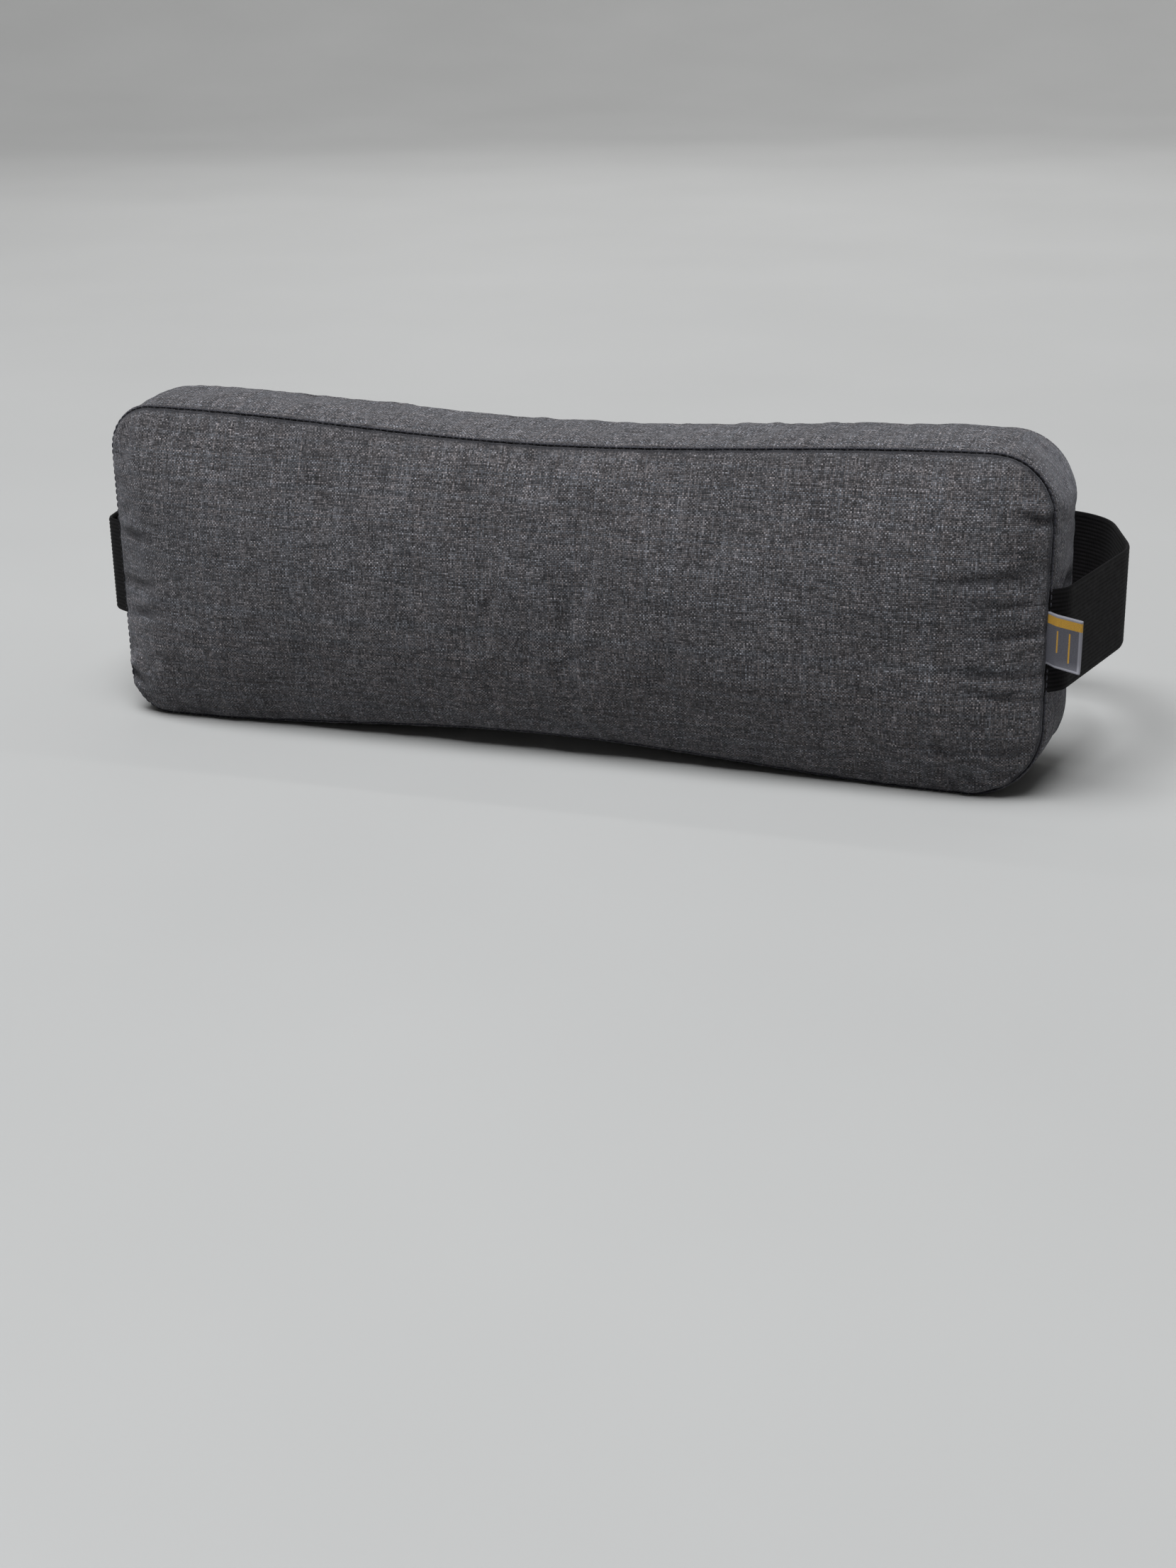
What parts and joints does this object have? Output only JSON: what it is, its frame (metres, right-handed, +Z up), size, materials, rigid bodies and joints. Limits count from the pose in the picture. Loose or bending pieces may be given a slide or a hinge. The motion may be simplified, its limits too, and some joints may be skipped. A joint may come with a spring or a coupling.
{
  "type": "back brace",
  "caption": "Lumbar support cushion with a zipped cover, a loose filling, and an elastic strap with a side-release buckle that goes round a chair's backrest.",
  "frame": {"origin": "under the middle of the whole object, on the surface that the cushion's lower edge stands on", "axes": "+X to the right of someone who looks at the cushion's front, along its length; the front faces -Y; the strap's loop lies behind, towards +Y; +Z up"},
  "size_m": [0.4402, 0.1546, 0.1391],
  "materials": {
    "melange_cloth": "matt grey melange upholstery weave, light and dark yarns crossed",
    "dark_thread": "near-black sewing thread",
    "black_elastic": "black elastic webbing, ribbed along its length",
    "woven_tag": "grey woven tag with golden-yellow bands",
    "liner_cloth": "undyed cotton",
    "hull_filling": "loose dark brown hulls",
    "black_acetal": "fine-textured black moulding",
    "zip_tape": "dark grey woven tape",
    "zip_coil": "dark nylon coil",
    "black_nickel": "dark plated metal"
  },
  "bodies": {
    "cushion": {"front_panel": "melange_cloth", "border_band": "melange_cloth", "back_panel_upper": "melange_cloth", "back_panel_lower": "melange_cloth", "seam_thread_front": "dark_thread", "seam_thread_back": "dark_thread", "inner_case": "liner_cloth", "hull_filling": "hull_filling", "label": "woven_tag", "strap_right": "black_elastic", "strap_left": "black_elastic", "buckle_socket": "black_acetal", "zip_tape_upper": "zip_tape", "zip_tape_lower": "zip_tape", "zip_coil_upper": "zip_coil", "zip_coil_lower": "zip_coil", "zip_stop_left": "black_nickel", "zip_stop_right": "black_nickel"},
    "slider": {"zip_slider": "black_nickel"},
    "pull": {"zip_pull": "black_nickel"},
    "plug": {"buckle_plug": "black_acetal"},
    "arm_upper": {"buckle_arm_upper": "black_acetal"},
    "arm_lower": {"buckle_arm_lower": "black_acetal"},
    "keeper": {"strap_keeper": "black_acetal"}
  },
  "joints": [
    {"name": "zip_slide", "type": "slide", "parent": "cushion", "child": "slider", "axis": [1, 0, 0], "range_m": [0, 0.306]},
    {"name": "zip_pull_flip", "type": "hinge", "parent": "slider", "child": "pull", "pos_m": [-0.153, -0.00745, 0.03], "axis": [0, 0, -1], "range_deg": [0, 170]},
    {"name": "buckle_release", "type": "slide", "parent": "cushion", "child": "plug", "axis": [-1, 0, 0], "range_m": [0, 0.04], "deforming": ["strap_left", "buckle_arm_upper", "buckle_arm_lower"]},
    {"name": "buckle_arm_upper_press", "type": "hinge", "parent": "plug", "child": "arm_upper", "pos_m": [0.0021, 0.07135, 0.0815], "axis": [0, 1, 0], "range_deg": [0, 9], "stiffness_Nm_per_rad": 1},
    {"name": "buckle_arm_lower_press", "type": "hinge", "parent": "plug", "child": "arm_lower", "pos_m": [0.0021, 0.07135, 0.0485], "axis": [0, -1, 0], "range_deg": [0, 9], "stiffness_Nm_per_rad": 1},
    {"name": "keeper_slide", "type": "slide", "parent": "cushion", "child": "keeper", "axis": [1, 0, 0], "range_m": [-0.03, 0.022]}
  ]
}
